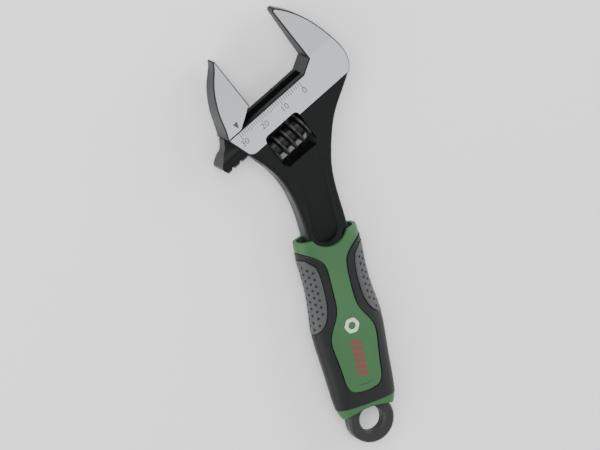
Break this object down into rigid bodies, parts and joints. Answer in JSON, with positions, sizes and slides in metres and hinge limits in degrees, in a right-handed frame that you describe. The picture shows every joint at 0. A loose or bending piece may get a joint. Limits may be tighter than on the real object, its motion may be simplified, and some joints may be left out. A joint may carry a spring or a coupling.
{
  "type": "adjustable wrench",
  "caption": "Wide-opening adjustable wrench: forged head with a sliding jaw driven by a thumb worm, and a two-tone moulded handle with a hanging loop.",
  "frame": {"origin": "centre of the hanging hole on the mid-plane", "axes": "+X along the handle to the head, +Y towards the sliding jaw, +Z out of the front face"},
  "size_m": [0.1753, 0.0587, 0.0122],
  "materials": {
    "black_forging": "satin black phosphate over forged steel, with ground bright flats on the head and jaws",
    "black_oxide": "satin black oxide",
    "pin_steel": "plain turned steel",
    "black_plastic": "fine textured",
    "green_plastic": "satin moulded",
    "soft_black": "soft matte overmould",
    "soft_grey": "soft matte with fine dimples"
  },
  "bodies": {
    "handle_and_head": {"wrench_body": "black_forging", "worm_pin": "pin_steel", "worm_spring": "pin_steel", "handle_liner": "black_plastic", "handle_core": "green_plastic", "grip_overmould": "soft_black", "grip_pad_left": "soft_grey", "grip_pad_right": "soft_grey"},
    "jaw": {"sliding_jaw": "black_forging"},
    "thumb_worm": {"worm": "black_oxide"}
  },
  "joints": [
    {"name": "jaw_slide", "type": "slide", "parent": "handle_and_head", "child": "jaw", "axis": [-0.3827, 0.9239, 0], "range_m": [-0.02875, 0.0047]},
    {"name": "worm_spin", "type": "hinge", "parent": "handle_and_head", "child": "thumb_worm", "pos_m": [0.11604, 0.00579, 0], "axis": [0.3827, -0.9239, 0], "range_deg": [-2730, 450]}
  ],
  "couplings": [
    {"joint": "worm_spin", "follows": "jaw_slide", "rad_per_m": 1653.5}
  ]
}
